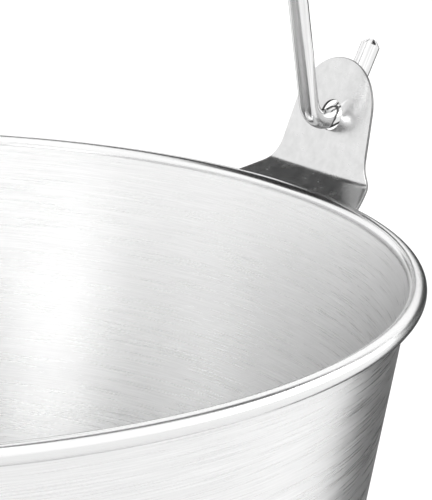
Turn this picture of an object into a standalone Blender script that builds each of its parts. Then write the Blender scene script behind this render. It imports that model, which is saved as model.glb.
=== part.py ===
"""A stainless steel milk pail: a tapered body with a wired rim, two welded ears and a swinging wire bail.

The pail stands on its foot ring on the XY plane, with +Z up its axis. The ears stand at +X and -X.
Lengths are in metres.
"""

import math

import bpy
import numpy as np

# Body: one tapered shell of drawn sheet, its edge curled outward into a round bead.
RIM_RADIUS = 0.160
RIM_HEIGHT = 0.240
BEAD_RADIUS = 0.0025
SHEET = 0.0008
WALL_TAPER = math.radians(8.6)
FLOOR_HEIGHT = 0.008
CORNER_RADIUS = 0.020
CURL_TURN = math.radians(290)

# Wire inside the curl, and the foot ring under the floor.
GAP = 0.0003
FOOT_RADIUS = 0.110
FOOT_SHEET = 0.0012
FOOT_FLANGE = 0.009
FOOT_BEND_RADIUS = 0.0022
WELD_RADIUS = 0.0012
FOOT_WELD_DROP = 1.1 * (WELD_RADIUS + GAP)

# Ears: stamped sheet, welded to the wall, flaring out past the bead to a leaning plate with a hole.
EAR_SHEET = 0.0010
EAR_LEAN = math.radians(15)
EAR_BEND = (0.16918, 0.00484)
EAR_KNEE = (0.16155, -0.00036)
EAR_FLANGE_TOP = -0.0093
EAR_FLANGE_BOTTOM = -0.036
EAR_FLANGE_WIDTH = 0.066
EAR_WAIST = 0.0210
EAR_WAIST_HEIGHT = 0.0052
EAR_ARC_RADIUS = 0.0187
EAR_ARC_RISE = 0.0004
EAR_HOLE_HEIGHT = 0.0192
EAR_HOLE_RADIUS = 0.005
FLANGE_BEND_RADIUS = 0.005
KNEE_RADIUS = 0.008
PLATE_BEND_RADIUS = 0.0045
FLANGE_FOOT_FLAT = 0.010
FLANGE_CORNER_RADIUS = 0.014
FLARE_LENGTH = 0.016
FLARE_RADIUS = 0.008
WAIST_RADIUS = 0.010
SHOULDER = math.radians(8.5)
CROWN = math.radians(85)
EAR_WELD_TOP = EAR_FLANGE_TOP - 0.004
EAR_WELD_CORNER_RADIUS = 0.0155

# Bail: round wire, with each end bent through its ear and turned up outside it.
BAIL_RADIUS = 0.003175
HINGE_ABOVE_BEAD = 0.0229
LEG_X = 0.16516
LEG_LEAN = math.radians(10.65)
LEG_LENGTH = 0.0438
CROSSING_X = 0.1740
CROSSING_RISE = math.radians(18)
HOOK_LEAN = math.radians(26)
HOOK_TIP = (0.1901, 0.0469)
INNER_BEND_RADIUS = 0.007
OUTER_BEND_RADIUS = 0.006
TIP_CHAMFER = 0.0018
TIP_FLAT_SHARE = 0.41

# How finely round shapes are divided.
RING_STEPS = 64
ROD_SIDES = 8
CURL_STEPS = 14
FILLET_STEPS = 4
ARCH_STEPS = 26
EAR_COLUMNS = 8
CROWN_STEPS = 7
HOLE_SIDES = 24
BAIL_ROUNDNESS = 3
WELD_ROUNDNESS = 2

# Values that follow from the dimensions above.
BEAD_CENTRE = (RIM_RADIUS - BEAD_RADIUS, RIM_HEIGHT - BEAD_RADIUS)
BEAD_HEIGHT = BEAD_CENTRE[1]
WIRE_RADIUS = BEAD_RADIUS - SHEET - GAP

STAINLESS_COLOR = (0.60, 0.60, 0.59, 1)
ROUGHNESS = {"body": 0.28, "drawn_wire": 0.45, "foot": 0.3, "ear": 0.3, "weld": 0.4, "bail": 0.15}


def clear_scene():
    for obj in list(bpy.data.objects):
        bpy.data.objects.remove(obj, do_unlink=True)


def new_collection(name):
    collection = bpy.data.collections.new(name)
    bpy.context.scene.collection.children.link(collection)
    return collection


def finish(obj, surface):
    """Stainless steel with the roughness of a kind of surface, on a material of the piece's own."""
    material = bpy.data.materials.new(obj.name + "_steel")
    material.use_nodes = True
    shader = material.node_tree.nodes["Principled BSDF"]
    shader.inputs["Base Color"].default_value = STAINLESS_COLOR
    shader.inputs["Metallic"].default_value = 1
    shader.inputs["Roughness"].default_value = ROUGHNESS[surface]
    obj.data.materials.append(material)


def rounded_path(corners):
    """Points of a line through (x, z, radius) corners, each corner with a radius turned into an arc."""
    places = [np.array(corner[:2], float) for corner in corners]
    points = [places[0]]
    for index in range(1, len(corners) - 1):
        corner = places[index]
        radius = corners[index][2]
        if not radius:
            points.append(corner)
            continue
        back = (places[index - 1] - corner) / np.linalg.norm(places[index - 1] - corner)
        ahead = (places[index + 1] - corner) / np.linalg.norm(places[index + 1] - corner)
        half = math.acos(np.clip(back @ ahead, -1, 1)) / 2
        middle = (back + ahead) / np.linalg.norm(back + ahead)
        centre = corner + middle * radius / math.sin(half)
        sweep = math.pi / 2 - half
        side = np.array([-middle[1], middle[0]])
        side *= np.sign(side @ ahead)
        for step in np.linspace(-sweep, sweep, FILLET_STEPS + 1):
            points.append(centre + radius * (side * math.sin(step) - middle * math.cos(step)))
    points.append(places[-1])
    return points


def line_mesh(name, points, closed=False):
    """A mesh of edges through points of the XZ plane."""
    mesh = bpy.data.meshes.new(name)
    count = len(points)
    edges = [(i, (i + 1) % count) for i in range(count if closed else count - 1)]
    mesh.from_pydata([(x, 0, z) for x, z in points], edges, [])
    return mesh


def turn(obj):
    screw = obj.modifiers.new("Turned", "SCREW")
    screw.axis = "Z"
    screw.angle = 2 * math.pi
    screw.steps = RING_STEPS
    screw.render_steps = RING_STEPS
    screw.use_merge_vertices = True
    screw.merge_threshold = 1e-5


def turned_sheet(name, path, thickness, collection):
    """A sheet turned about Z, centred on a path that runs down its outer side."""
    obj = bpy.data.objects.new(name, line_mesh(name, path))
    collection.objects.link(obj)
    turn(obj)
    solidify(obj, thickness)
    return obj


def turned_rod(name, centre, radius, collection):
    """A ring of round rod about Z."""
    angles = [-2 * math.pi * step / ROD_SIDES for step in range(ROD_SIDES)]
    circle = [(centre[0] + radius * math.cos(a), centre[1] + radius * math.sin(a)) for a in angles]
    obj = bpy.data.objects.new(name, line_mesh(name, circle, closed=True))
    collection.objects.link(obj)
    turn(obj)
    return obj


def solidify(obj, thickness):
    wall = obj.modifiers.new("Sheet", "SOLIDIFY")
    wall.thickness = thickness
    wall.offset = 0
    wall.use_even_offset = True
    wall.use_quality_normals = True


def wire(name, points, radius, collection, roundness, end_share=1):
    """A round wire along a list of points, with filled ends."""
    curve = bpy.data.curves.new(name, "CURVE")
    curve.dimensions = "3D"
    curve.bevel_depth = radius
    curve.bevel_resolution = roundness
    curve.use_fill_caps = True
    spline = curve.splines.new("POLY")
    spline.points.add(len(points) - 1)
    for point, place in zip(spline.points, points):
        point.co = (*place, 1)
    spline.points[0].radius = end_share
    spline.points[-1].radius = end_share
    obj = bpy.data.objects.new(name, curve)
    collection.objects.link(obj)
    return obj


def wall_radius(height):
    """Outer radius of the body's wall at a height above the bead's centre."""
    at_bead = BEAD_CENTRE[0] - BEAD_RADIUS / math.cos(WALL_TAPER) + SHEET / math.cos(WALL_TAPER)
    return at_bead + height * math.tan(WALL_TAPER)


def curl(centre, radius):
    """The bead's sheet from its cut edge round over the top to where it joins the wall."""
    start = math.pi - WALL_TAPER - CURL_TURN
    angles = [start + CURL_TURN * step / CURL_STEPS for step in range(CURL_STEPS + 1)]
    return [(centre[0] + radius * math.cos(a), centre[1] + radius * math.sin(a)) for a in angles]


def make_body(collection):
    half = SHEET / 2
    bead = curl(BEAD_CENTRE, BEAD_RADIUS - half)
    floor = FLOOR_HEIGHT + half
    corner = wall_radius(floor - BEAD_HEIGHT) - half / math.cos(WALL_TAPER)
    below = rounded_path([(*bead[-1], 0), (corner, floor, CORNER_RADIUS - half), (0, floor, 0)])
    body = turned_sheet("pail_body", bead + [tuple(p) for p in below[1:]], SHEET, collection)
    finish(body, "body")


def make_rim_wire(collection):
    ring = turned_rod("rim_wire", BEAD_CENTRE, WIRE_RADIUS, collection)
    finish(ring, "drawn_wire")


def corner_height(radius):
    """Height of the underside of the body's rounded corner at a radius inside it."""
    flat = wall_radius(FLOOR_HEIGHT - BEAD_HEIGHT)
    flat -= CORNER_RADIUS * math.tan(math.pi / 4 - WALL_TAPER / 2)
    inside = radius - flat
    return FLOOR_HEIGHT + CORNER_RADIUS - math.sqrt(CORNER_RADIUS**2 - inside**2)


def make_foot(collection):
    middle = FOOT_RADIUS - FOOT_SHEET / 2
    top = corner_height(FOOT_RADIUS - FOOT_SHEET) - GAP
    base = FOOT_SHEET / 2
    corners = [(middle, top, 0), (middle, base, FOOT_BEND_RADIUS), (FOOT_RADIUS - FOOT_FLANGE, base, 0)]
    ring = turned_sheet("foot_ring", rounded_path(corners), FOOT_SHEET, collection)
    finish(ring, "foot")
    weld_centre = FOOT_RADIUS + GAP + WELD_RADIUS
    height = corner_height(weld_centre) - FOOT_WELD_DROP
    seam = turned_rod("foot_weld", (weld_centre, height), WELD_RADIUS, collection)
    finish(seam, "weld")


def ear_path():
    """The ear's middle surface at its centre line, from the flange's foot to the plate's top."""
    seat = GAP + EAR_SHEET / 2
    reach = EAR_HOLE_HEIGHT + EAR_ARC_RISE + EAR_ARC_RADIUS
    top = (EAR_BEND[0] + reach * math.sin(EAR_LEAN), EAR_BEND[1] + reach * math.cos(EAR_LEAN))
    return rounded_path([
        (wall_radius(EAR_FLANGE_BOTTOM) + seat, EAR_FLANGE_BOTTOM, 0),
        (wall_radius(EAR_FLANGE_TOP) + seat, EAR_FLANGE_TOP, FLANGE_BEND_RADIUS),
        (*EAR_KNEE, KNEE_RADIUS),
        (*EAR_BEND, PLATE_BEND_RADIUS),
        (*top, 0),
    ])


def ear_outline(bottom):
    """Half-width against distance from the bend line, up one side of the ear to its rounded top."""
    side = EAR_FLANGE_WIDTH / 2
    arc_centre = EAR_HOLE_HEIGHT + EAR_ARC_RISE
    turns = np.linspace(SHOULDER, CROWN, CROWN_STEPS + 1)
    crown = [(EAR_ARC_RADIUS * math.cos(t), arc_centre + EAR_ARC_RADIUS * math.sin(t)) for t in turns]
    flank = rounded_path([
        (FLANGE_FOOT_FLAT, bottom, 0),
        (side, bottom, FLANGE_CORNER_RADIUS),
        (side, EAR_WAIST_HEIGHT - FLARE_LENGTH, FLARE_RADIUS),
        (EAR_WAIST, EAR_WAIST_HEIGHT, WAIST_RADIUS),
        (*crown[0], 0),
    ])
    return np.array(flank + crown[1:])


def ear_rows():
    """(x, z, half-width, share of the wall's roundness) of each row of the ear, from its foot up."""
    path = np.array(ear_path())
    lengths = np.concatenate([[0], np.cumsum(np.linalg.norm(np.diff(path, axis=0), axis=1))])
    bend = lengths[-1] - EAR_HOLE_HEIGHT - EAR_ARC_RISE - EAR_ARC_RADIUS
    outline = ear_outline(-bend)
    stations = np.unique(np.concatenate([lengths - bend, outline[:, 1]]).round(4))
    stations = stations[stations <= outline[-1, 1]]
    x = np.interp(stations + bend, lengths, path[:, 0])
    z = np.interp(stations + bend, lengths, path[:, 1])
    width = np.interp(stations, outline[:, 1], outline[:, 0])
    share = np.clip((EAR_BEND[0] - x) / (EAR_BEND[0] - EAR_KNEE[0]), 0, 1)
    return list(zip(x, z, width, share))


def ear_mesh():
    """The ear's middle surface: rows across it, round as the wall at the flange and flat at the plate."""
    vertices = []
    rows = ear_rows()
    for x, z, width, share in rows:
        for column in range(EAR_COLUMNS + 1):
            y = width * (2 * column / EAR_COLUMNS - 1)
            dip = x - math.sqrt(x * x - y * y)
            vertices.append((x - share * dip, y, BEAD_HEIGHT + z))
    faces = []
    for row in range(len(rows) - 1):
        for column in range(EAR_COLUMNS):
            first = row * (EAR_COLUMNS + 1) + column
            above = first + EAR_COLUMNS + 1
            faces.append((first, first + 1, above + 1, above))
    mesh = bpy.data.meshes.new("ear")
    mesh.from_pydata(vertices, [], faces)
    return mesh


def make_hole_cutter(cutters):
    centre_x = EAR_BEND[0] + EAR_HOLE_HEIGHT * math.sin(EAR_LEAN)
    centre_z = BEAD_HEIGHT + EAR_BEND[1] + EAR_HOLE_HEIGHT * math.cos(EAR_LEAN)
    depth = EAR_HOLE_RADIUS * 4
    bpy.ops.mesh.primitive_cylinder_add(vertices=HOLE_SIDES, radius=EAR_HOLE_RADIUS, depth=depth)
    cutter = bpy.context.object
    cutter.name = "ear_hole_cutter"
    cutter.location = (centre_x, 0, centre_z)
    cutter.rotation_euler = (0, math.pi / 2 + EAR_LEAN, 0)
    bpy.context.view_layer.update()
    cutter.data.transform(cutter.matrix_world)
    cutter.matrix_world.identity()
    for owner in list(cutter.users_collection):
        owner.objects.unlink(cutter)
    cutters.objects.link(cutter)
    cutter.hide_render = True
    cutter.display_type = "WIRE"
    return cutter


def make_ears(collection, cutters):
    cutter = make_hole_cutter(cutters)
    mesh = ear_mesh()
    for name, heading in (("ear_right", 0), ("ear_left", math.pi)):
        ear = bpy.data.objects.new(name, mesh.copy())
        collection.objects.link(ear)
        solidify(ear, EAR_SHEET)
        ear_cutter = cutter.copy()
        cutters.objects.link(ear_cutter)
        ear_cutter.parent = ear
        hole = ear.modifiers.new("Hole", "BOOLEAN")
        hole.operation = "DIFFERENCE"
        hole.object = ear_cutter
        ear.rotation_euler = (0, 0, heading)
        finish(ear, "ear")
    bpy.data.objects.remove(cutter, do_unlink=True)


def weld_points():
    """The fillet weld's centre line, down one edge of the flange, across its foot and up the other."""
    side = EAR_FLANGE_WIDTH / 2 + GAP + WELD_RADIUS
    foot = EAR_FLANGE_BOTTOM - GAP - WELD_RADIUS
    half = rounded_path([(side, EAR_WELD_TOP, 0), (side, foot, EAR_WELD_CORNER_RADIUS), (0, foot, 0)])
    across = half + [(-y, z) for y, z in reversed(half[:-1])]
    points = []
    for y, z in across:
        radius = wall_radius(z) + GAP / math.cos(WALL_TAPER) + WELD_RADIUS
        points.append((math.sqrt(radius**2 - y**2), y, BEAD_HEIGHT + z))
    return points


def make_ear_welds(collection):
    for name, heading in (("ear_weld_right", 0), ("ear_weld_left", math.pi)):
        seam = wire(name, weld_points(), WELD_RADIUS, collection, WELD_ROUNDNESS)
        seam.rotation_euler = (0, 0, heading)
        finish(seam, "weld")


def crossing_corner(place, lean):
    """Where a line through a place, leaning from upright, meets the wire's crossing through the ear."""
    slope = math.tan(CROSSING_RISE)
    along = (place[0] - CROSSING_X) * slope - (place[1] - HINGE_ABOVE_BEAD)
    along /= math.cos(lean) - math.sin(lean) * slope
    return (place[0] + along * math.sin(lean), place[1] + along * math.cos(lean))


def bail_half():
    """The bail's centre line on the +X side, from the hook's tip up to the top of the straight leg."""
    leg_top = (LEG_X - LEG_LENGTH * math.tan(LEG_LEAN), HINGE_ABOVE_BEAD + LEG_LENGTH)
    chamfer_start = (
        HOOK_TIP[0] - TIP_CHAMFER * math.sin(HOOK_LEAN),
        HOOK_TIP[1] - TIP_CHAMFER * math.cos(HOOK_LEAN),
    )
    return rounded_path([
        (*HOOK_TIP, 0),
        (*chamfer_start, 0),
        (*crossing_corner(HOOK_TIP, HOOK_LEAN), OUTER_BEND_RADIUS),
        (*crossing_corner(leg_top, -LEG_LEAN), INNER_BEND_RADIUS),
        (*leg_top, 0),
    ])


def make_bail(collection):
    half = bail_half()
    leg_top = half[-1]
    radius = leg_top[0] / math.cos(LEG_LEAN)
    centre = leg_top[1] - radius * math.sin(LEG_LEAN)
    angles = np.linspace(LEG_LEAN, math.pi - LEG_LEAN, ARCH_STEPS + 1)[1:-1]
    arch = [(radius * math.cos(a), centre + radius * math.sin(a)) for a in angles]
    path = half + arch + [(-x, z) for x, z in reversed(half)]
    hinge = bpy.data.objects.new("bail_hinge", None)
    hinge.location = (0, 0, BEAD_HEIGHT + HINGE_ABOVE_BEAD)
    collection.objects.link(hinge)
    points = [(x, 0, z - HINGE_ABOVE_BEAD) for x, z in path]
    bail = wire("bail", points, BAIL_RADIUS, collection, BAIL_ROUNDNESS, TIP_FLAT_SHARE)
    bail.parent = hinge
    finish(bail, "bail")


def main():
    clear_scene()
    parts = new_collection("milk_pail")
    cutters = new_collection("cutters")
    make_body(parts)
    make_rim_wire(parts)
    make_foot(parts)
    make_ears(parts, cutters)
    make_ear_welds(parts)
    make_bail(parts)


main()
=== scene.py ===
"""The looks of a stainless steel milk pail: fine meshes and brushed, polished and welded steel finishes.

Every new piece stands for the CAD piece of the same place, and rides on the same body.
Lengths are in metres, +Z is up, the ears are at +X and -X, and the bail swings about the X direction.
"""

import math

import bpy
import numpy as np
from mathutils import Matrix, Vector


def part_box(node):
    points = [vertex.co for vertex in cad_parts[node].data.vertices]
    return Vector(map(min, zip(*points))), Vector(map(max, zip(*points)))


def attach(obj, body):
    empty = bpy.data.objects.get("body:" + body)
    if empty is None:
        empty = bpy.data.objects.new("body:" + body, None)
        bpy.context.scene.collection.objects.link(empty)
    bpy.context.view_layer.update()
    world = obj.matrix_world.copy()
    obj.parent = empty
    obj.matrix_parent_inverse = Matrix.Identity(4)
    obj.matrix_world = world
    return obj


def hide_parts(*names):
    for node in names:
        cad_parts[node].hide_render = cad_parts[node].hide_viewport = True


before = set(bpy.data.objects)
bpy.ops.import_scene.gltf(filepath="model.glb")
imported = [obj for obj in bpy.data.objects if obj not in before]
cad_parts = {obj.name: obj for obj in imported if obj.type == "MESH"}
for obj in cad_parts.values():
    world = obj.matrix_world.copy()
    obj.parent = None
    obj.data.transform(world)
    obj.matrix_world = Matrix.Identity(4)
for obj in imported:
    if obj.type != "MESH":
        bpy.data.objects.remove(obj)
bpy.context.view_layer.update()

# Body: 0.8 mm drawn sheet, its edge curled outward into a bead.
body_low, body_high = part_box("pail_body")
RIM_RADIUS = body_high.x
RIM_HEIGHT = body_high.z
FLOOR_HEIGHT = body_low.z
BEAD_RADIUS = 0.0025
BEAD_CENTRE = (RIM_RADIUS - BEAD_RADIUS, RIM_HEIGHT - BEAD_RADIUS)
BEAD_HEIGHT = BEAD_CENTRE[1]
SHEET = 0.0008
WALL_TAPER = math.radians(8.6)
CORNER_RADIUS = 0.020
CURL_TURN = math.radians(290)
GROOVE_DEPTH = 0.00007
# The groove's edges and bed, as distances down the wall from the curl.
GROOVE_DOWN = (0.0006, 0.0009, 0.0013, 0.0017)
GAP = 0.0003

# Foot ring and its weld.
FOOT_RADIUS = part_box("foot_ring")[1].x
FOOT_SHEET = 0.0012
FOOT_FLANGE = 0.009
FOOT_BEND_RADIUS = 0.0022
WELD_RADIUS = 0.0012
WELD_RIPPLE = 0.0013
RIPPLE_WIDTHS = (1.0, 1.08, 1.02, 0.92)
EAR_WELD_OVERLAP = 0.7 * WELD_RADIUS
EAR_WELD_STAND_OFF = 0.6 * WELD_RADIUS
FOOT_WELD_DROP = 1.1 * (WELD_RADIUS + GAP)

# Ears: 1 mm pressed sheet.
EAR_SHEET = 0.0010
EAR_LEAN = math.radians(15)
EAR_BEND = (0.16918, 0.00484)
EAR_KNEE = (0.16155, -0.00036)
EAR_FLANGE_TOP = -0.0093
EAR_FLANGE_BOTTOM = -0.036
EAR_FLANGE_WIDTH = 0.066
EAR_WAIST = 0.0210
EAR_WAIST_HEIGHT = 0.0052
EAR_ARC_RADIUS = 0.0187
EAR_ARC_RISE = 0.0004
EAR_HOLE_HEIGHT = 0.0192
EAR_HOLE_RADIUS = 0.005
EAR_NECK_HEIGHT = 0.0085
FLANGE_BEND_RADIUS = 0.005
KNEE_RADIUS = 0.008
PLATE_BEND_RADIUS = 0.0045
FLANGE_FOOT_FLAT = 0.016
FLANGE_CORNER_RADIUS = 0.014
FLARE_LENGTH = 0.016
FLARE_RADIUS = 0.008
WAIST_RADIUS = 0.010
SHOULDER = math.radians(8.5)
EAR_WELD_TOP = EAR_FLANGE_TOP - 0.004
EAR_WELD_CORNER_RADIUS = 0.0155
EAR_COLUMNS = 24
EAR_RINGS = 6

# Bail: 6.35 mm wire.
BAIL_RADIUS = 0.003175
HINGE_HEIGHT = BEAD_HEIGHT + 0.0229
LEG_X = 0.16516
LEG_LEAN = math.radians(10.65)
LEG_LENGTH = 0.0438
CROSSING_X = 0.1740
CROSSING_RISE = math.radians(18)
HOOK_LEAN = math.radians(26)
HOOK_TIP = (0.1901, BEAD_HEIGHT + 0.0469)
INNER_BEND_RADIUS = 0.007
OUTER_BEND_RADIUS = 0.006
TIP_CHAMFER = 0.0018
TIP_FLAT_SHARE = 0.41

TURN_STEPS = 256


# Camera and studio


def make_camera():
    camera_data = bpy.data.cameras.new("camera")
    camera_data.sensor_width = 36
    camera_data.lens = 144
    camera_data.clip_end = 100
    camera = bpy.data.objects.new("camera", camera_data)
    bpy.context.scene.collection.objects.link(camera)
    camera.location = (-0.24416, -0.48609, 0.38881)
    camera.rotation_euler = [math.radians(a) for a in (74.731, -1.729, -36.987)]
    bpy.context.scene.camera = camera


def linear(colour):
    """A linear RGBA from an sRGB hex colour."""
    parts = [int(colour[i : i + 2], 16) / 255 for i in (1, 3, 5)]
    return (*(p / 12.92 if p <= 0.04045 else ((p + 0.055) / 1.055) ** 2.4 for p in parts), 1)


def add_node(tree, kind, settings=None, values=None, links=None):
    """One node with its settings, socket values and incoming links, each link a (node, output) pair."""
    node = tree.nodes.new(kind)
    for name, value in (settings or {}).items():
        setattr(node, name, value)
    for socket, value in (values or {}).items():
        node.inputs[socket].default_value = value
    for socket, (source, output) in (links or {}).items():
        tree.links.new(source.outputs[output], node.inputs[socket])
    return node


def new_material(name):
    material = bpy.data.materials.new(name)
    material.use_nodes = True
    tree = material.node_tree
    return material, tree, tree.nodes["Principled BSDF"]


def make_card(name, colour, size, place, turn, near=1):
    """A matt card that shows only in reflections, where it shades the steel. Its near end may be narrower."""
    bpy.ops.mesh.primitive_plane_add(size=1, location=place, rotation=[math.radians(a) for a in turn])
    card = bpy.context.object
    card.name = name
    card.scale = (*size, 1)
    for vertex in card.data.vertices:
        vertex.co.y *= near if vertex.co.x < 0 else 1
    card.visible_camera = False
    card.visible_diffuse = False
    card.visible_shadow = False
    material, tree, shader = new_material(name + "_card")
    shader.inputs["Base Color"].default_value = linear(colour)
    shader.inputs["Roughness"].default_value = 1
    card.data.materials.append(material)


def make_softbox(name, power, size, place, turn):
    deselect_all()
    bpy.ops.object.light_add(type="AREA", location=place, rotation=[math.radians(a) for a in turn])
    lamp = bpy.context.object
    lamp.name = name
    lamp.data.shape = "RECTANGLE"
    lamp.data.size, lamp.data.size_y = size
    lamp.data.energy = power
    lamp.visible_diffuse = False


def make_studio():
    world = bpy.data.worlds.new("studio")
    bpy.context.scene.world = world
    world.use_nodes = True
    background = world.node_tree.nodes["Background"]
    background.inputs["Color"].default_value = linear("#ffffff")
    background.inputs["Strength"].default_value = 1.45
    bpy.context.scene.view_settings.view_transform = "Standard"
    bpy.ops.mesh.primitive_plane_add(size=30)
    floor = bpy.context.object
    floor.name = "floor"
    material, tree, shader = new_material("white_floor")
    shader.inputs["Base Color"].default_value = linear("#eeeeee")
    shader.inputs["Roughness"].default_value = 0.9
    floor.data.materials.append(material)
    # Dark cards: one high behind the pail, which the flare of the ear and the bead reflect, a strip from
    # overhead down the right that draws a line along the bead, and two that shade the wall's right edge.
    make_card("back", "#050505", (2.6, 1.2), (-0.045, 1.83, 1.89), (132, 0, 0))
    make_card("strip", "#101010", (2.2, 0.70), (1.29, -0.12, 1.77), (0, 40, 0))
    make_card("low_right", "#222222", (0.85, 1.36), (0.54, 0.26, 0.004), (0, 0, 40), 0.15)
    make_card("tall_right", "#222222", (1.36, 0.47), (0.87, 0.53, 0.235), (90, 0, -50))
    make_softbox("overhead", 31, (1.6, 1.6), (-0.80, -0.95, 2.2), (25, 0, -40))
    make_softbox("front_right", 13, (1.4, 0.9), (1.28, -0.74, 0.84), (68, 0, 60))


# Tools for shaping


def deselect_all():
    bpy.ops.object.select_all(action="DESELECT")


def take(obj):
    """Selects one object and makes it the active one."""
    deselect_all()
    obj.select_set(True)
    bpy.context.view_layer.objects.active = obj


def apply_modifier(obj, kind, **settings):
    take(obj)
    modifier = obj.modifiers.new(kind.lower(), kind)
    for name, value in settings.items():
        setattr(modifier, name, value)
    bpy.ops.object.modifier_apply(modifier=modifier.name)


def smooth(obj, degrees=35):
    take(obj)
    bpy.ops.object.shade_smooth_by_angle(angle=math.radians(degrees))


def rounded_path(corners, steps=8):
    """Points of a line through (x, z, radius) corners, each corner with a radius turned into an arc."""
    places = [np.array(corner[:2], float) for corner in corners]
    points = [tuple(places[0])]
    for index in range(1, len(corners) - 1):
        corner = places[index]
        radius = corners[index][2]
        if not radius:
            points.append(tuple(corner))
            continue
        back = (places[index - 1] - corner) / np.linalg.norm(places[index - 1] - corner)
        ahead = (places[index + 1] - corner) / np.linalg.norm(places[index + 1] - corner)
        half = math.acos(np.clip(back @ ahead, -1, 1)) / 2
        middle = (back + ahead) / np.linalg.norm(back + ahead)
        centre = corner + middle * radius / math.sin(half)
        sweep = math.pi / 2 - half
        side = np.array([-middle[1], middle[0]])
        side *= np.sign(side @ ahead)
        for turn in np.linspace(-sweep, sweep, steps + 1):
            points.append(tuple(centre + radius * (side * math.sin(turn) - middle * math.cos(turn))))
    points.append(tuple(places[-1]))
    return points


def arc(centre, radius, start, end, steps):
    """Points on an arc in the XZ plane, from one angle to another."""
    angles = np.linspace(start, end, steps + 1)
    return [(centre[0] + radius * math.cos(a), centre[1] + radius * math.sin(a)) for a in angles]


def drawn_line(name, points):
    """A line of edges through (x, z) points, made by extruding one vertex from point to point."""
    deselect_all()
    bpy.ops.mesh.primitive_plane_add(size=0.001, location=(points[0][0], 0, points[0][1]))
    obj = bpy.context.object
    obj.name = name
    bpy.ops.object.transform_apply(location=True, rotation=True, scale=True)
    bpy.ops.object.mode_set(mode="EDIT")
    bpy.ops.mesh.select_all(action="SELECT")
    bpy.ops.mesh.merge(type="CENTER")
    for (x0, z0), (x1, z1) in zip(points, points[1:]):
        bpy.ops.mesh.extrude_vertices_move(TRANSFORM_OT_translate={"value": (x1 - x0, 0, z1 - z0)})
    bpy.ops.object.mode_set(mode="OBJECT")
    return obj


def spun(name, points, steps=TURN_STEPS):
    """A surface made by spinning a line of (x, z) points about Z."""
    obj = drawn_line(name, points)
    bpy.ops.object.mode_set(mode="EDIT")
    bpy.ops.mesh.select_all(action="SELECT")
    bpy.ops.mesh.spin(steps=steps, angle=2 * math.pi, center=(0, 0, 0), axis=(0, 0, 1))
    bpy.ops.mesh.select_all(action="SELECT")
    bpy.ops.mesh.remove_doubles(threshold=1e-6)
    bpy.ops.mesh.normals_make_consistent(inside=False)
    bpy.ops.object.mode_set(mode="OBJECT")
    return obj


def wall_radius(height):
    """Outer radius of the body's wall at a height above the bead's centre."""
    at_bead = BEAD_CENTRE[0] - (BEAD_RADIUS - SHEET) / math.cos(WALL_TAPER)
    return at_bead + height * math.tan(WALL_TAPER)


def corner_height(radius):
    """Height of the underside of the body's rounded corner at a radius inside it."""
    flat = wall_radius(FLOOR_HEIGHT - BEAD_HEIGHT)
    flat -= CORNER_RADIUS * math.tan(math.pi / 4 - WALL_TAPER / 2)
    return FLOOR_HEIGHT + CORNER_RADIUS - math.sqrt(CORNER_RADIUS**2 - (radius - flat) ** 2)


# Body


def make_body(steels):
    half = SHEET / 2
    start = math.pi - WALL_TAPER - CURL_TURN
    bead = arc(BEAD_CENTRE, BEAD_RADIUS - half, start, start + CURL_TURN, 44)
    floor = FLOOR_HEIGHT + half
    corner = wall_radius(floor - BEAD_HEIGHT) - half / math.cos(WALL_TAPER)
    below = rounded_path([(*bead[-1], 0), (corner, floor, CORNER_RADIUS - half), (0, floor, 0)], 16)
    # A fine groove where the curling roll ended, just under the bead.
    groove = []
    for down, out in zip(GROOVE_DOWN, (0, GROOVE_DEPTH, GROOVE_DEPTH, 0)):
        x = bead[-1][0] - down * math.sin(WALL_TAPER) + out
        groove.append((x, bead[-1][1] - down * math.cos(WALL_TAPER)))
    shell = spun("pail_shell", bead + groove + below[1:])
    apply_modifier(shell, "SOLIDIFY", thickness=SHEET, offset=0, use_even_offset=True)
    smooth(shell)
    shell.data.materials.append(steels["body"])
    shell.data.materials.append(steels["bead"])
    for face in shell.data.polygons:
        out = math.hypot(face.center.x, face.center.y) - BEAD_CENTRE[0]
        if math.hypot(out, face.center.z - BEAD_HEIGHT) < BEAD_RADIUS * 1.02:
            face.material_index = 1
    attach(shell, "pail")
    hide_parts("pail_body")


def make_rim_wire(steels):
    centre = Vector((BEAD_CENTRE[0], 0, BEAD_HEIGHT))
    deselect_all()
    bpy.ops.mesh.primitive_torus_add(
        location=(0, 0, centre.z), major_radius=centre.x, minor_radius=BEAD_RADIUS - SHEET - GAP,
        major_segments=TURN_STEPS, minor_segments=16,
    )
    wire = bpy.context.object
    wire.name = "rim_core_wire"
    bpy.ops.object.transform_apply(location=True, rotation=True, scale=True)
    smooth(wire)
    wire.data.materials.append(steels["wire"])
    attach(wire, "pail")
    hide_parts("rim_wire")


def make_foot(steels):
    middle = FOOT_RADIUS - FOOT_SHEET / 2
    top = corner_height(FOOT_RADIUS - FOOT_SHEET) - GAP / 2
    base = FOOT_SHEET / 2
    corners = [(middle, top, 0), (middle, base, FOOT_BEND_RADIUS), (FOOT_RADIUS - FOOT_FLANGE, base, 0)]
    ring = spun("foot_hoop", rounded_path(corners, 10))
    apply_modifier(ring, "SOLIDIFY", thickness=FOOT_SHEET, offset=0, use_even_offset=True)
    apply_modifier(
        ring, "BEVEL", width=0.0002, segments=2, limit_method="ANGLE", angle_limit=math.radians(50)
    )
    smooth(ring)
    ring.data.materials.append(steels["foot"])
    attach(ring, "pail")
    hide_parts("foot_ring")


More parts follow.
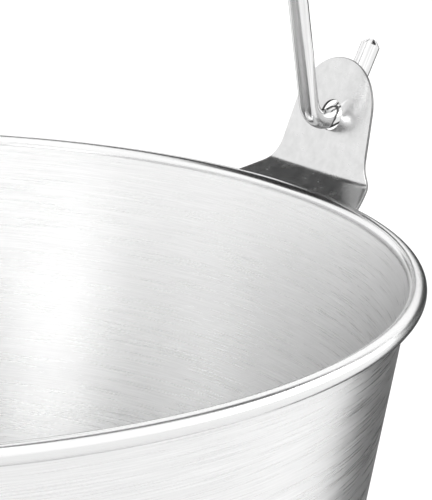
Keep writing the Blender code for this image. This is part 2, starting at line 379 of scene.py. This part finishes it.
def weld_seam(name, points, steels, closed=False):
    """A weld bead along a line of points, its width rising and falling once for each ripple."""
    curve = bpy.data.curves.new(name, "CURVE")
    curve.dimensions = "3D"
    curve.bevel_depth = WELD_RADIUS
    curve.bevel_resolution = 4
    curve.use_fill_caps = not closed
    spline = curve.splines.new("POLY")
    line = [Vector(p) for p in points]
    if closed:
        line.append(line[0])
    lengths = np.concatenate([[0], np.cumsum([(b - a).length for a, b in zip(line, line[1:])])])
    ripples = max(1, round(lengths[-1] / WELD_RIPPLE))
    count = ripples * len(RIPPLE_WIDTHS)
    places = np.linspace(0, lengths[-1], count + 1)
    coords = np.array([np.interp(places, lengths, [p[i] for p in line]) for i in range(3)]).T
    if closed:
        coords = coords[:-1]
        spline.use_cyclic_u = True
    spline.points.add(len(coords) - 1)
    for index, (point, place) in enumerate(zip(spline.points, coords)):
        point.co = (*place, 1)
        point.radius = RIPPLE_WIDTHS[index % len(RIPPLE_WIDTHS)]
    seam = bpy.data.objects.new(name, curve)
    bpy.context.scene.collection.objects.link(seam)
    take(seam)
    bpy.ops.object.convert(target="MESH")
    seam = bpy.context.object
    bpy.ops.object.mode_set(mode="EDIT")
    bpy.ops.mesh.select_all(action="SELECT")
    bpy.ops.mesh.remove_doubles(threshold=1e-6)
    bpy.ops.mesh.normals_make_consistent(inside=False)
    bpy.ops.object.mode_set(mode="OBJECT")
    smooth(seam, 60)
    seam.data.materials.clear()
    seam.data.materials.append(steels["weld"])
    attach(seam, "pail")
    return seam


def make_foot_weld(steels):
    centre = FOOT_RADIUS + GAP + WELD_RADIUS
    height = corner_height(centre) - FOOT_WELD_DROP
    angles = np.linspace(0, 2 * math.pi, TURN_STEPS, endpoint=False)
    points = [(centre * math.cos(a), centre * math.sin(a), height) for a in angles]
    seam = weld_seam("foot_seam", points, steels, closed=True)
    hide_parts("foot_weld")


# Ears


def ear_path():
    """The ear's middle surface at its centre line, from the flange's foot to the plate's top."""
    seat = GAP + EAR_SHEET / 2
    reach = EAR_HOLE_HEIGHT + EAR_ARC_RISE + EAR_ARC_RADIUS
    top = (EAR_BEND[0] + reach * math.sin(EAR_LEAN), EAR_BEND[1] + reach * math.cos(EAR_LEAN))
    return rounded_path([
        (wall_radius(EAR_FLANGE_BOTTOM) + seat, EAR_FLANGE_BOTTOM, 0),
        (wall_radius(EAR_FLANGE_TOP) + seat, EAR_FLANGE_TOP, FLANGE_BEND_RADIUS),
        (*EAR_KNEE, KNEE_RADIUS),
        (*EAR_BEND, PLATE_BEND_RADIUS),
        (*top, 0),
    ])


def ear_side(bottom):
    """Half-width against distance from the bend line, from the flange's foot up to where the arc starts."""
    side = EAR_FLANGE_WIDTH / 2
    shoulder_height = EAR_HOLE_HEIGHT + EAR_ARC_RISE + EAR_ARC_RADIUS * math.sin(SHOULDER)
    return rounded_path([
        (FLANGE_FOOT_FLAT, bottom, 0),
        (side, bottom, FLANGE_CORNER_RADIUS),
        (side, EAR_WAIST_HEIGHT - FLARE_LENGTH, FLARE_RADIUS),
        (EAR_WAIST, EAR_WAIST_HEIGHT, WAIST_RADIUS),
        (EAR_ARC_RADIUS * math.cos(SHOULDER), shoulder_height, 0),
    ])


def press(across, along, path, lengths, bend):
    """The place in space of a point of the flat blank: across it, and along it from the bend line."""
    x = np.interp(along + bend, lengths, path[:, 0])
    z = np.interp(along + bend, lengths, path[:, 1])
    share = np.clip((EAR_BEND[0] - x) / (EAR_BEND[0] - EAR_KNEE[0]), 0, 1)
    dip = x - math.sqrt(x * x - across * across)
    return (x - share * dip, across, BEAD_HEIGHT + z)


def row_order(vertices):
    """A flat grid's vertex numbers row by row, each row from left to right."""
    return sorted(range(len(vertices)), key=lambda i: (round(vertices[i].co.y, 5), vertices[i].co.x))


def make_ear(name, node, steels):
    path = np.array(ear_path())
    lengths = np.concatenate([[0], np.cumsum(np.linalg.norm(np.diff(path, axis=0), axis=1))])
    bend = lengths[-1] - EAR_HOLE_HEIGHT - EAR_ARC_RISE - EAR_ARC_RADIUS
    side = np.array(ear_side(-bend))
    neck = EAR_NECK_HEIGHT
    stations = np.unique(np.concatenate([lengths - bend, side[:, 1], np.linspace(-bend, neck, 40)]).round(5))
    stations = np.append(stations[stations < neck - 1e-4], neck)
    # Lower part: rows across the flange, the flare and the neck.
    deselect_all()
    bpy.ops.mesh.primitive_grid_add(x_subdivisions=EAR_COLUMNS, y_subdivisions=len(stations) - 1, size=2)
    lower = bpy.context.object
    for place, index in enumerate(row_order(lower.data.vertices)):
        row, column = divmod(place, EAR_COLUMNS + 1)
        half = np.interp(stations[row], side[:, 1], side[:, 0])
        across = half * (2 * column / EAR_COLUMNS - 1)
        lower.data.vertices[index].co = press(across, stations[row], path, lengths, bend)
    # Upper part: rings between the hole and the plate's edge.
    half = np.interp(neck, side[:, 1], side[:, 0])
    rim = [(half * (2 * column / EAR_COLUMNS - 1), neck) for column in range(EAR_COLUMNS)]
    right = [tuple(p) for p in side if p[1] > neck + 1e-4]
    rim += [(half, neck)] + right
    top = arc((0, EAR_HOLE_HEIGHT + EAR_ARC_RISE), EAR_ARC_RADIUS, SHOULDER, math.pi - SHOULDER, 40)
    rim += top[1:-1] + [(-x, y) for x, y in reversed(right)]
    deselect_all()
    bpy.ops.mesh.primitive_grid_add(x_subdivisions=len(rim), y_subdivisions=EAR_RINGS, size=2)
    upper = bpy.context.object
    for place, index in enumerate(row_order(upper.data.vertices)):
        ring, spoke = divmod(place, len(rim) + 1)
        edge = rim[spoke % len(rim)]
        angle = math.atan2(edge[1] - EAR_HOLE_HEIGHT, edge[0])
        hole = (EAR_HOLE_RADIUS * math.cos(angle), EAR_HOLE_HEIGHT + EAR_HOLE_RADIUS * math.sin(angle))
        share = ring / EAR_RINGS
        across = hole[0] + (edge[0] - hole[0]) * share
        along = hole[1] + (edge[1] - hole[1]) * share
        upper.data.vertices[index].co = press(across, along, path, lengths, bend)
    take(lower)
    upper.select_set(True)
    bpy.ops.object.join()
    ear = bpy.context.object
    ear.name = name
    bpy.ops.object.mode_set(mode="EDIT")
    bpy.ops.mesh.select_all(action="SELECT")
    bpy.ops.mesh.remove_doubles(threshold=1e-5)
    bpy.ops.mesh.normals_make_consistent(inside=False)
    bpy.ops.object.mode_set(mode="OBJECT")
    ear.data.materials.clear()
    ear.data.materials.append(steels["ear"])
    ear.data.materials.append(steels["edge"])
    apply_modifier(
        ear, "SOLIDIFY", thickness=EAR_SHEET, offset=0, use_even_offset=True, material_offset_rim=1
    )
    apply_modifier(ear, "BEVEL", width=0.0003, segments=3, limit_method="ANGLE", angle_limit=math.radians(50))
    if node == "ear_left":
        take(ear)
        ear.rotation_euler = (0, 0, math.pi)
        bpy.ops.object.transform_apply(location=True, rotation=True, scale=True)
    smooth(ear)
    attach(ear, "pail")
    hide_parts(node)


def make_ear_weld(name, node, heading, steels):
    side = EAR_FLANGE_WIDTH / 2 + EAR_WELD_OVERLAP
    foot = EAR_FLANGE_BOTTOM - EAR_WELD_OVERLAP
    half = rounded_path([(side, EAR_WELD_TOP, 0), (side, foot, EAR_WELD_CORNER_RADIUS), (0, foot, 0)])
    across = half + [(-y, z) for y, z in reversed(half[:-1])]
    points = []
    for y, z in across:
        radius = wall_radius(z) + EAR_WELD_STAND_OFF
        x = math.sqrt(radius**2 - y**2)
        points.append((x * heading, y * heading, BEAD_HEIGHT + z))
    seam = weld_seam(name, points, steels)
    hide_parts(node)


# Bail


def crossing_corner(place, lean):
    """Where a line through a place, leaning from upright, meets the wire's crossing through the ear."""
    slope = math.tan(CROSSING_RISE)
    along = (place[0] - CROSSING_X) * slope - (place[1] - HINGE_HEIGHT)
    along /= math.cos(lean) - math.sin(lean) * slope
    return (place[0] + along * math.sin(lean), place[1] + along * math.cos(lean))


def bail_line():
    """The wire's centre line from the top of the arch down the +X side to the tip of the hook."""
    leg_top = (LEG_X - LEG_LENGTH * math.tan(LEG_LEAN), HINGE_HEIGHT + LEG_LENGTH)
    radius = leg_top[0] / math.cos(LEG_LEAN)
    centre = (0, leg_top[1] - radius * math.sin(LEG_LEAN))
    arch = arc(centre, radius, math.pi / 2, LEG_LEAN, 64)
    end = rounded_path([
        (*leg_top, 0),
        (*crossing_corner(leg_top, -LEG_LEAN), INNER_BEND_RADIUS),
        (*crossing_corner(HOOK_TIP, HOOK_LEAN), OUTER_BEND_RADIUS),
        (*HOOK_TIP, 0),
    ], 18)
    return arch, end


def extend(move, scale=1):
    """Extrudes the selected end of a tube by a move, and scales the new end."""
    bpy.ops.mesh.extrude_region_move(TRANSFORM_OT_translate={"value": (move[0], 0, move[1])})
    bpy.ops.transform.resize(value=(scale, scale, scale))


def bend_on(end, heading, radius, turn, steps):
    """Bends the tube on from its selected end, and gives its new end and heading."""
    centre = end + radius * np.array([-heading[1], heading[0]])
    bpy.ops.mesh.spin(steps=steps, angle=turn, axis=(0, 1, 0), center=(centre[0], 0, centre[1]))
    cos, sin = math.cos(turn), math.sin(turn)
    heading = np.array([heading[0] * cos - heading[1] * sin, heading[0] * sin + heading[1] * cos])
    return centre - radius * np.array([-heading[1], heading[0]]), heading


def mark_wire(obj, arch, end):
    """Stores each vertex's place on the wire: two distances from the centre line and one along it."""
    line = np.array(arch + end[1:])
    steps = np.linalg.norm(np.diff(line, axis=0), axis=1)
    lengths = np.concatenate([[0], np.cumsum(steps)])
    heading = np.gradient(line, axis=0)
    heading /= np.linalg.norm(heading, axis=1)[:, None]
    places = np.array([v.co for v in obj.data.vertices])
    flat = np.stack([np.abs(places[:, 0]), places[:, 2]], axis=1)
    nearest = np.linalg.norm(flat[:, None] - line[None], axis=2).argmin(axis=1)
    away = flat - line[nearest]
    across = heading[nearest, 0] * away[:, 1] - heading[nearest, 1] * away[:, 0]
    along = (lengths[nearest] + (heading[nearest] * away).sum(axis=1)) * np.sign(places[:, 0])
    values = np.stack([places[:, 1], across, along], axis=1)
    attribute = obj.data.attributes.new("wire_place", "FLOAT_VECTOR", "POINT")
    attribute.data.foreach_set("vector", values.astype(np.float32).ravel())


def make_bail(steels):
    arch, end_line = bail_line()
    deselect_all()
    bpy.ops.mesh.primitive_circle_add(
        vertices=48, radius=BAIL_RADIUS, location=(0, 0, arch[0][1]), rotation=(0, math.pi / 2, 0)
    )
    bail = bpy.context.object
    bail.name = "bail_wire"
    bpy.ops.object.transform_apply(location=True, rotation=True, scale=True)
    bpy.ops.object.mode_set(mode="EDIT")
    bpy.ops.mesh.select_all(action="SELECT")
    # The arch, from its top down to the straight leg.
    leg_top = np.array(arch[-1])
    arch_centre = leg_top[1] - leg_top[0] * math.tan(LEG_LEAN)
    bpy.ops.mesh.spin(steps=64, angle=LEG_LEAN - math.pi / 2, center=(0, 0, arch_centre), axis=(0, 1, 0))
    # Down the leg to the inner bend.
    heading = np.array([math.sin(LEG_LEAN), -math.cos(LEG_LEAN)])
    run = (np.array(end_line[1]) - leg_top) / 6
    for _ in range(6):
        extend(run)
    # In through the ear and up outside it.
    inner_turn = math.pi / 2 - LEG_LEAN + CROSSING_RISE
    end, heading = bend_on(np.array(end_line[1]), heading, INNER_BEND_RADIUS, inner_turn, 18)
    crossing = np.array(end_line[20]) - end
    extend(crossing)
    outer_turn = math.pi / 2 - HOOK_LEAN - CROSSING_RISE
    end, heading = bend_on(end + crossing, heading, OUTER_BEND_RADIUS, outer_turn, 18)
    extend(np.array(HOOK_TIP) - end - heading * TIP_CHAMFER)
    extend(heading * TIP_CHAMFER, TIP_FLAT_SHARE)
    bpy.ops.mesh.edge_face_add()
    bpy.ops.mesh.select_all(action="SELECT")
    bpy.ops.mesh.remove_doubles(threshold=1e-6)
    bpy.ops.mesh.normals_make_consistent(inside=False)
    bpy.ops.object.mode_set(mode="OBJECT")
    apply_modifier(bail, "MIRROR", use_axis=(True, False, False), merge_threshold=1e-5)
    smooth(bail, 30)
    mark_wire(bail, arch, end_line)
    bail.data.materials.append(steels["bail"])
    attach(bail, "bail")
    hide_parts("bail")


# Finishes


def turned_place(tree):
    """A place on a turned piece whose third value runs along the section, so lines close round the axis."""
    place = add_node(tree, "ShaderNodeTexCoord")
    flat = add_node(
        tree, "ShaderNodeVectorMath", {"operation": "MULTIPLY"}, {1: (1, 1, 0)}, {0: (place, "Object")}
    )
    radius = add_node(tree, "ShaderNodeVectorMath", {"operation": "LENGTH"}, links={0: (flat, "Vector")})
    parts = add_node(tree, "ShaderNodeSeparateXYZ", links={"Vector": (place, "Object")})
    section = add_node(
        tree, "ShaderNodeMath", {"operation": "ADD"}, links={0: (parts, "Z"), 1: (radius, "Value")}
    )
    return add_node(
        tree, "ShaderNodeCombineXYZ", links={"X": (parts, "X"), "Y": (parts, "Y"), "Z": (section, "Value")}
    )


def connect(tree, shader, links):
    for socket, (source, output) in links.items():
        tree.links.new(source.outputs[output], shader.inputs[socket])


def brushed_body_steel():
    """304 stainless, brushed round with a fine belt: grey hairlines, and light smeared up and down the wall.

    The real lines are about 0.1 mm apart, and are drawn 0.5 mm apart so that they show.
    """
    material, tree, shader = new_material("brushed_stainless_steel")
    shader.inputs["Metallic"].default_value = 1
    shader.inputs["Anisotropic"].default_value = 0.7
    shader.inputs["Anisotropic Rotation"].default_value = 0.25
    place = turned_place(tree)
    lines_drawn = add_node(
        tree, "ShaderNodeMapping", values={"Scale": (40, 40, 1900)}, links={"Vector": (place, "Vector")}
    )
    lines = add_node(
        tree, "ShaderNodeTexNoise", values={"Scale": 1, "Detail": 4, "Roughness": 0.6},
        links={"Vector": (lines_drawn, "Vector")},
    )
    clouds_drawn = add_node(
        tree, "ShaderNodeMapping", values={"Scale": (9, 9, 55)}, links={"Vector": (place, "Vector")}
    )
    clouds = add_node(
        tree, "ShaderNodeTexNoise", values={"Scale": 1, "Detail": 2, "Roughness": 0.6},
        links={"Vector": (clouds_drawn, "Vector")},
    )
    # Odd scratches from use, each a few centimetres long and slanting across the brushing.
    slant = add_node(
        tree, "ShaderNodeMapping", values={"Rotation": (0.5, 0.35, 0.2)}, links={"Vector": (place, "Vector")}
    )
    scratches_drawn = add_node(
        tree, "ShaderNodeMapping", values={"Scale": (60, 60, 1500)}, links={"Vector": (slant, "Vector")}
    )
    scratches = add_node(
        tree, "ShaderNodeTexNoise", values={"Scale": 1, "Detail": 1, "Roughness": 0.6},
        links={"Vector": (scratches_drawn, "Vector")},
    )
    marks = add_node(
        tree, "ShaderNodeMapRange",
        values={"From Min": 0.66, "From Max": 0.74, "To Min": 0, "To Max": 1},
        links={"Value": (scratches, "Fac")},
    )
    rough_lines = add_node(
        tree, "ShaderNodeMapRange",
        values={"From Min": 0.35, "From Max": 0.65, "To Min": 0.22, "To Max": 0.31},
        links={"Value": (lines, "Fac")},
    )
    rough = add_node(
        tree, "ShaderNodeMath", {"operation": "MULTIPLY_ADD"}, {1: 0.08},
        {0: (clouds, "Fac"), 2: (rough_lines, "Result")},
    )
    colour_share = add_node(
        tree, "ShaderNodeMapRange", values={"From Min": 0.3, "From Max": 0.7},
        links={"Value": (lines, "Fac")},
    )
    colour = add_node(
        tree, "ShaderNodeMix", {"data_type": "RGBA"}, {"A": linear("#d1d1d1"), "B": linear("#e2e2e2")},
        {"Factor": (colour_share, "Result")},
    )
    height = add_node(
        tree, "ShaderNodeMath", {"operation": "SUBTRACT"}, links={0: (lines, "Fac"), 1: (marks, "Result")}
    )
    bump = add_node(
        tree, "ShaderNodeBump", values={"Strength": 0.25, "Distance": 0.00006},
        links={"Height": (height, "Value")},
    )
    connect(tree, shader, {
        "Base Color": (colour, "Result"),
        "Roughness": (rough, "Value"),
        "Normal": (bump, "Normal"),
    })
    return material


def polished_bead_steel():
    """The curled edge, buffed after rolling: a near-mirror with faint lines round it.

    Buffing lines are finer than 0.05 mm, and are drawn 0.6 mm apart so that they show.
    """
    material, tree, shader = new_material("buffed_stainless_steel_bead")
    shader.inputs["Metallic"].default_value = 1
    place = turned_place(tree)
    lines_drawn = add_node(
        tree, "ShaderNodeMapping", values={"Scale": (10, 10, 1600)}, links={"Vector": (place, "Vector")}
    )
    lines = add_node(
        tree, "ShaderNodeTexNoise", values={"Scale": 1, "Detail": 3, "Roughness": 0.6},
        links={"Vector": (lines_drawn, "Vector")},
    )
    rough = add_node(
        tree, "ShaderNodeMapRange",
        values={"From Min": 0.35, "From Max": 0.65, "To Min": 0.16, "To Max": 0.26},
        links={"Value": (lines, "Fac")},
    )
    colour_share = add_node(
        tree, "ShaderNodeMapRange", values={"From Min": 0.3, "From Max": 0.7},
        links={"Value": (lines, "Fac")},
    )
    colour = add_node(
        tree, "ShaderNodeMix", {"data_type": "RGBA"}, {"A": linear("#cfcfcf"), "B": linear("#dadada")},
        {"Factor": (colour_share, "Result")},
    )
    bump = add_node(
        tree, "ShaderNodeBump", values={"Strength": 0.12, "Distance": 0.00005},
        links={"Height": (lines, "Fac")},
    )
    connect(tree, shader, {
        "Base Color": (colour, "Result"),
        "Roughness": (rough, "Result"),
        "Normal": (bump, "Normal"),
    })
    return material


def satin_ear_steel():
    """Pressed stainless sheet in its rolled 2B finish: faintly cloudy satin, with bright worn edges.

    The real grain is finer than 0.1 mm, and is drawn about 1 mm wide so that it shows.
    """
    material, tree, shader = new_material("pressed_stainless_sheet")
    shader.inputs["Metallic"].default_value = 1
    place = add_node(tree, "ShaderNodeTexCoord")
    grain_drawn = add_node(
        tree, "ShaderNodeMapping", values={"Scale": (1100, 160, 1100)}, links={"Vector": (place, "Object")}
    )
    grain = add_node(
        tree, "ShaderNodeTexNoise", values={"Scale": 1, "Detail": 2, "Roughness": 0.6},
        links={"Vector": (grain_drawn, "Vector")},
    )
    clouds_drawn = add_node(
        tree, "ShaderNodeMapping", values={"Scale": (240, 240, 240)}, links={"Vector": (place, "Object")}
    )
    clouds = add_node(
        tree, "ShaderNodeTexNoise", values={"Scale": 1, "Detail": 2, "Roughness": 0.6},
        links={"Vector": (clouds_drawn, "Vector")},
    )
    shape = add_node(tree, "ShaderNodeNewGeometry")
    worn = add_node(
        tree, "ShaderNodeMapRange",
        values={"From Min": 0.52, "From Max": 0.6, "To Min": 0, "To Max": 1},
        links={"Value": (shape, "Pointiness")},
    )
    colour_share = add_node(
        tree, "ShaderNodeMapRange", values={"From Min": 0.3, "From Max": 0.7},
        links={"Value": (clouds, "Fac")},
    )
    colour = add_node(
        tree, "ShaderNodeMix", {"data_type": "RGBA"}, {"A": linear("#bebebe"), "B": linear("#c8c8c8")},
        {"Factor": (colour_share, "Result")},
    )
    rubbed = add_node(
        tree, "ShaderNodeMix", {"data_type": "RGBA"}, {"B": linear("#d4d4d4")},
        {"Factor": (worn, "Result"), "A": (colour, "Result")},
    )
    rough_clouds = add_node(
        tree, "ShaderNodeMapRange",
        values={"From Min": 0.35, "From Max": 0.65, "To Min": 0.21, "To Max": 0.24},
        links={"Value": (clouds, "Fac")},
    )
    rough = add_node(
        tree, "ShaderNodeMath", {"operation": "MULTIPLY_ADD"}, {1: 0.06},
        {0: (grain, "Fac"), 2: (rough_clouds, "Result")},
    )
    height = add_node(
        tree, "ShaderNodeMath", {"operation": "MULTIPLY_ADD"}, {1: 0.35},
        {0: (grain, "Fac"), 2: (clouds, "Fac")},
    )
    bump = add_node(
        tree, "ShaderNodeBump", values={"Strength": 0.02, "Distance": 0.00003},
        links={"Height": (height, "Value")},
    )
    connect(tree, shader, {
        "Base Color": (rubbed, "Result"),
        "Roughness": (rough, "Value"),
        "Normal": (bump, "Normal"),
    })
    return material


def sheared_edge_steel():
    """The cut edge of the ear's blank: dull grey, torn in short strokes across the sheet by the die, and
    given painted shade: its grey is far darker than bare steel, so the thin edges and the hole's wall read
    near black.

    The real tears are about 0.1 mm wide, and are drawn 0.4 mm wide so that they show.
    """
    material, tree, shader = new_material("sheared_stainless_edge")
    shader.inputs["Metallic"].default_value = 1
    place = add_node(tree, "ShaderNodeTexCoord")
    tears_drawn = add_node(
        tree, "ShaderNodeMapping", values={"Scale": (500, 2600, 2600)}, links={"Vector": (place, "Object")}
    )
    tears = add_node(
        tree, "ShaderNodeTexNoise", values={"Scale": 1, "Detail": 3, "Roughness": 0.6},
        links={"Vector": (tears_drawn, "Vector")},
    )
    colour_share = add_node(
        tree, "ShaderNodeMapRange", values={"From Min": 0.3, "From Max": 0.7},
        links={"Value": (tears, "Fac")},
    )
    # Painted shade: both greys are far darker than bare steel, so the thin edges read near black; the torn
    # strokes between them are the edge's own.
    colour = add_node(
        tree, "ShaderNodeMix", {"data_type": "RGBA"}, {"A": linear("#4e4e4e"), "B": linear("#767676")},
        {"Factor": (colour_share, "Result")},
    )
    rough = add_node(
        tree, "ShaderNodeMapRange",
        values={"From Min": 0.35, "From Max": 0.65, "To Min": 0.35, "To Max": 0.55},
        links={"Value": (tears, "Fac")},
    )
    bump = add_node(
        tree, "ShaderNodeBump", values={"Strength": 0.3, "Distance": 0.00006},
        links={"Height": (tears, "Fac")},
    )
    connect(tree, shader, {
        "Base Color": (colour, "Result"),
        "Roughness": (rough, "Result"),
        "Normal": (bump, "Normal"),
    })
    return material


def polished_bail_steel():
    """Cold-drawn stainless wire, polished along its length: mirror-bright with fine lengthwise streaks.

    Drawing streaks are finer than 0.1 mm, and are drawn 0.7 mm apart so that they show.
    """
    material, tree, shader = new_material("drawn_stainless_wire_polished")
    shader.inputs["Metallic"].default_value = 1
    place = add_node(tree, "ShaderNodeAttribute", {"attribute_name": "wire_place"})
    streaks_drawn = add_node(
        tree, "ShaderNodeMapping", values={"Scale": (1500, 1500, 30)}, links={"Vector": (place, "Vector")}
    )
    streaks = add_node(
        tree, "ShaderNodeTexNoise", values={"Scale": 1, "Detail": 4, "Roughness": 0.6},
        links={"Vector": (streaks_drawn, "Vector")},
    )
    dulled_drawn = add_node(
        tree, "ShaderNodeMapping", values={"Scale": (300, 300, 60)}, links={"Vector": (place, "Vector")}
    )
    dulled = add_node(
        tree, "ShaderNodeTexNoise", values={"Scale": 1, "Detail": 2, "Roughness": 0.6},
        links={"Vector": (dulled_drawn, "Vector")},
    )
    rough_streaks = add_node(
        tree, "ShaderNodeMapRange",
        values={"From Min": 0.35, "From Max": 0.65, "To Min": 0.07, "To Max": 0.17},
        links={"Value": (streaks, "Fac")},
    )
    rough = add_node(
        tree, "ShaderNodeMath", {"operation": "MULTIPLY_ADD"}, {1: 0.05},
        {0: (dulled, "Fac"), 2: (rough_streaks, "Result")},
    )
    colour_share = add_node(
        tree, "ShaderNodeMapRange", values={"From Min": 0.3, "From Max": 0.7},
        links={"Value": (streaks, "Fac")},
    )
    colour = add_node(
        tree, "ShaderNodeMix", {"data_type": "RGBA"}, {"A": linear("#c4c4c4"), "B": linear("#e6e6e6")},
        {"Factor": (colour_share, "Result")},
    )
    bump = add_node(
        tree, "ShaderNodeBump", values={"Strength": 0.2, "Distance": 0.00006},
        links={"Height": (streaks, "Fac")},
    )
    connect(tree, shader, {
        "Base Color": (colour, "Result"),
        "Roughness": (rough, "Value"),
        "Normal": (bump, "Normal"),
    })
    return material


def satin_foot_steel():
    """The hoop the pail stands on, brushed round like the body and scuffed bright along its lower edge.

    The real lines are about 0.1 mm apart, and are drawn 0.8 mm apart so that they show.
    """
    material, tree, shader = new_material("brushed_stainless_hoop")
    shader.inputs["Metallic"].default_value = 1
    place = turned_place(tree)
    lines_drawn = add_node(
        tree, "ShaderNodeMapping", values={"Scale": (14, 14, 1250)}, links={"Vector": (place, "Vector")}
    )
    lines = add_node(
        tree, "ShaderNodeTexNoise", values={"Scale": 1, "Detail": 4, "Roughness": 0.6},
        links={"Vector": (lines_drawn, "Vector")},
    )
    scuffs_drawn = add_node(
        tree, "ShaderNodeMapping", values={"Scale": (160, 160, 700)}, links={"Vector": (place, "Vector")}
    )
    scuffs = add_node(
        tree, "ShaderNodeTexNoise", values={"Scale": 1, "Detail": 3, "Roughness": 0.6},
        links={"Vector": (scuffs_drawn, "Vector")},
    )
    shape = add_node(tree, "ShaderNodeNewGeometry")
    worn = add_node(
        tree, "ShaderNodeMapRange",
        values={"From Min": 0.52, "From Max": 0.6, "To Min": 0, "To Max": 1},
        links={"Value": (shape, "Pointiness")},
    )
    colour_share = add_node(
        tree, "ShaderNodeMapRange", values={"From Min": 0.3, "From Max": 0.7},
        links={"Value": (lines, "Fac")},
    )
    colour = add_node(
        tree, "ShaderNodeMix", {"data_type": "RGBA"}, {"A": linear("#cecece"), "B": linear("#e2e2e2")},
        {"Factor": (colour_share, "Result")},
    )
    rubbed = add_node(
        tree, "ShaderNodeMix", {"data_type": "RGBA"}, {"B": linear("#f0f0f0")},
        {"Factor": (worn, "Result"), "A": (colour, "Result")},
    )
    rough = add_node(
        tree, "ShaderNodeMapRange",
        values={"From Min": 0.35, "From Max": 0.65, "To Min": 0.24, "To Max": 0.42},
        links={"Value": (scuffs, "Fac")},
    )
    bump = add_node(
        tree, "ShaderNodeBump", values={"Strength": 0.25, "Distance": 0.00008},
        links={"Height": (lines, "Fac")},
    )
    connect(tree, shader, {
        "Base Color": (rubbed, "Result"),
        "Roughness": (rough, "Result"),
        "Normal": (bump, "Normal"),
    })
    return material


def drawn_core_steel():
    """The plain drawn wire inside the curl: dull, with drawing lines round the rim.

    Drawing lines are finer than 0.1 mm, and are drawn 0.6 mm apart so that they show.
    """
    material, tree, shader = new_material("drawn_stainless_wire_dull")
    shader.inputs["Metallic"].default_value = 1
    place = turned_place(tree)
    lines_drawn = add_node(
        tree, "ShaderNodeMapping", values={"Scale": (20, 20, 1800)}, links={"Vector": (place, "Vector")}
    )
    lines = add_node(
        tree, "ShaderNodeTexNoise", values={"Scale": 1, "Detail": 3, "Roughness": 0.6},
        links={"Vector": (lines_drawn, "Vector")},
    )
    rough = add_node(
        tree, "ShaderNodeMapRange",
        values={"From Min": 0.35, "From Max": 0.65, "To Min": 0.35, "To Max": 0.5},
        links={"Value": (lines, "Fac")},
    )
    colour_share = add_node(
        tree, "ShaderNodeMapRange", values={"From Min": 0.3, "From Max": 0.7},
        links={"Value": (lines, "Fac")},
    )
    colour = add_node(
        tree, "ShaderNodeMix", {"data_type": "RGBA"}, {"A": linear("#b3b3b2"), "B": linear("#cacac9")},
        {"Factor": (colour_share, "Result")},
    )
    connect(tree, shader, {"Base Color": (colour, "Result"), "Roughness": (rough, "Result")})
    return material


def cleaned_weld_steel():
    """TIG weld metal after pickling: frosty ripples with a trace of straw and blue heat colour.

    The frost's real grain is about 0.05 mm, and is drawn 0.5 mm wide so that it shows.
    """
    material, tree, shader = new_material("pickled_stainless_weld")
    shader.inputs["Metallic"].default_value = 1
    place = add_node(tree, "ShaderNodeTexCoord")
    frost_drawn = add_node(
        tree, "ShaderNodeMapping", values={"Scale": (2200, 2200, 2200)}, links={"Vector": (place, "Object")}
    )
    frost = add_node(
        tree, "ShaderNodeTexNoise", values={"Scale": 1, "Detail": 3, "Roughness": 0.6},
        links={"Vector": (frost_drawn, "Vector")},
    )
    heat_drawn = add_node(
        tree, "ShaderNodeMapping", values={"Scale": (170, 170, 300)}, links={"Vector": (place, "Object")}
    )
    heat = add_node(
        tree, "ShaderNodeTexNoise", values={"Scale": 1, "Detail": 2, "Roughness": 0.6},
        links={"Vector": (heat_drawn, "Vector")},
    )
    warm_share = add_node(
        tree, "ShaderNodeMapRange", values={"From Min": 0.3, "From Max": 0.7},
        links={"Value": (heat, "Fac")},
    )
    warm = add_node(
        tree, "ShaderNodeMix", {"data_type": "RGBA"}, {"A": linear("#c9bfae"), "B": linear("#b6bbc4")},
        {"Factor": (warm_share, "Result")},
    )
    pale_share = add_node(
        tree, "ShaderNodeMapRange", values={"From Min": 0.3, "From Max": 0.7},
        links={"Value": (frost, "Fac")},
    )
    pale = add_node(
        tree, "ShaderNodeMix", {"data_type": "RGBA"}, {"A": linear("#b9b8b5"), "B": linear("#dcdbd8")},
        {"Factor": (pale_share, "Result")},
    )
    colour = add_node(
        tree, "ShaderNodeMix", {"data_type": "RGBA"}, {"Factor": 0.4},
        {"A": (pale, "Result"), "B": (warm, "Result")},
    )
    rough = add_node(
        tree, "ShaderNodeMapRange",
        values={"From Min": 0.35, "From Max": 0.65, "To Min": 0.28, "To Max": 0.48},
        links={"Value": (frost, "Fac")},
    )
    bump = add_node(
        tree, "ShaderNodeBump", values={"Strength": 0.3, "Distance": 0.0001}, links={"Height": (frost, "Fac")}
    )
    connect(tree, shader, {
        "Base Color": (colour, "Result"),
        "Roughness": (rough, "Result"),
        "Normal": (bump, "Normal"),
    })
    return material


def make_steels():
    return {
        "body": brushed_body_steel(),
        "bead": polished_bead_steel(),
        "ear": satin_ear_steel(),
        "edge": sheared_edge_steel(),
        "bail": polished_bail_steel(),
        "foot": satin_foot_steel(),
        "wire": drawn_core_steel(),
        "weld": cleaned_weld_steel(),
    }


make_camera()
make_studio()
steels = make_steels()
make_body(steels)
make_rim_wire(steels)
make_foot(steels)
make_foot_weld(steels)
make_ear("ear_plate_right", "ear_right", steels)
make_ear("ear_plate_left", "ear_left", steels)
make_ear_weld("ear_seam_right", "ear_weld_right", 1, steels)
make_ear_weld("ear_seam_left", "ear_weld_left", -1, steels)
make_bail(steels)
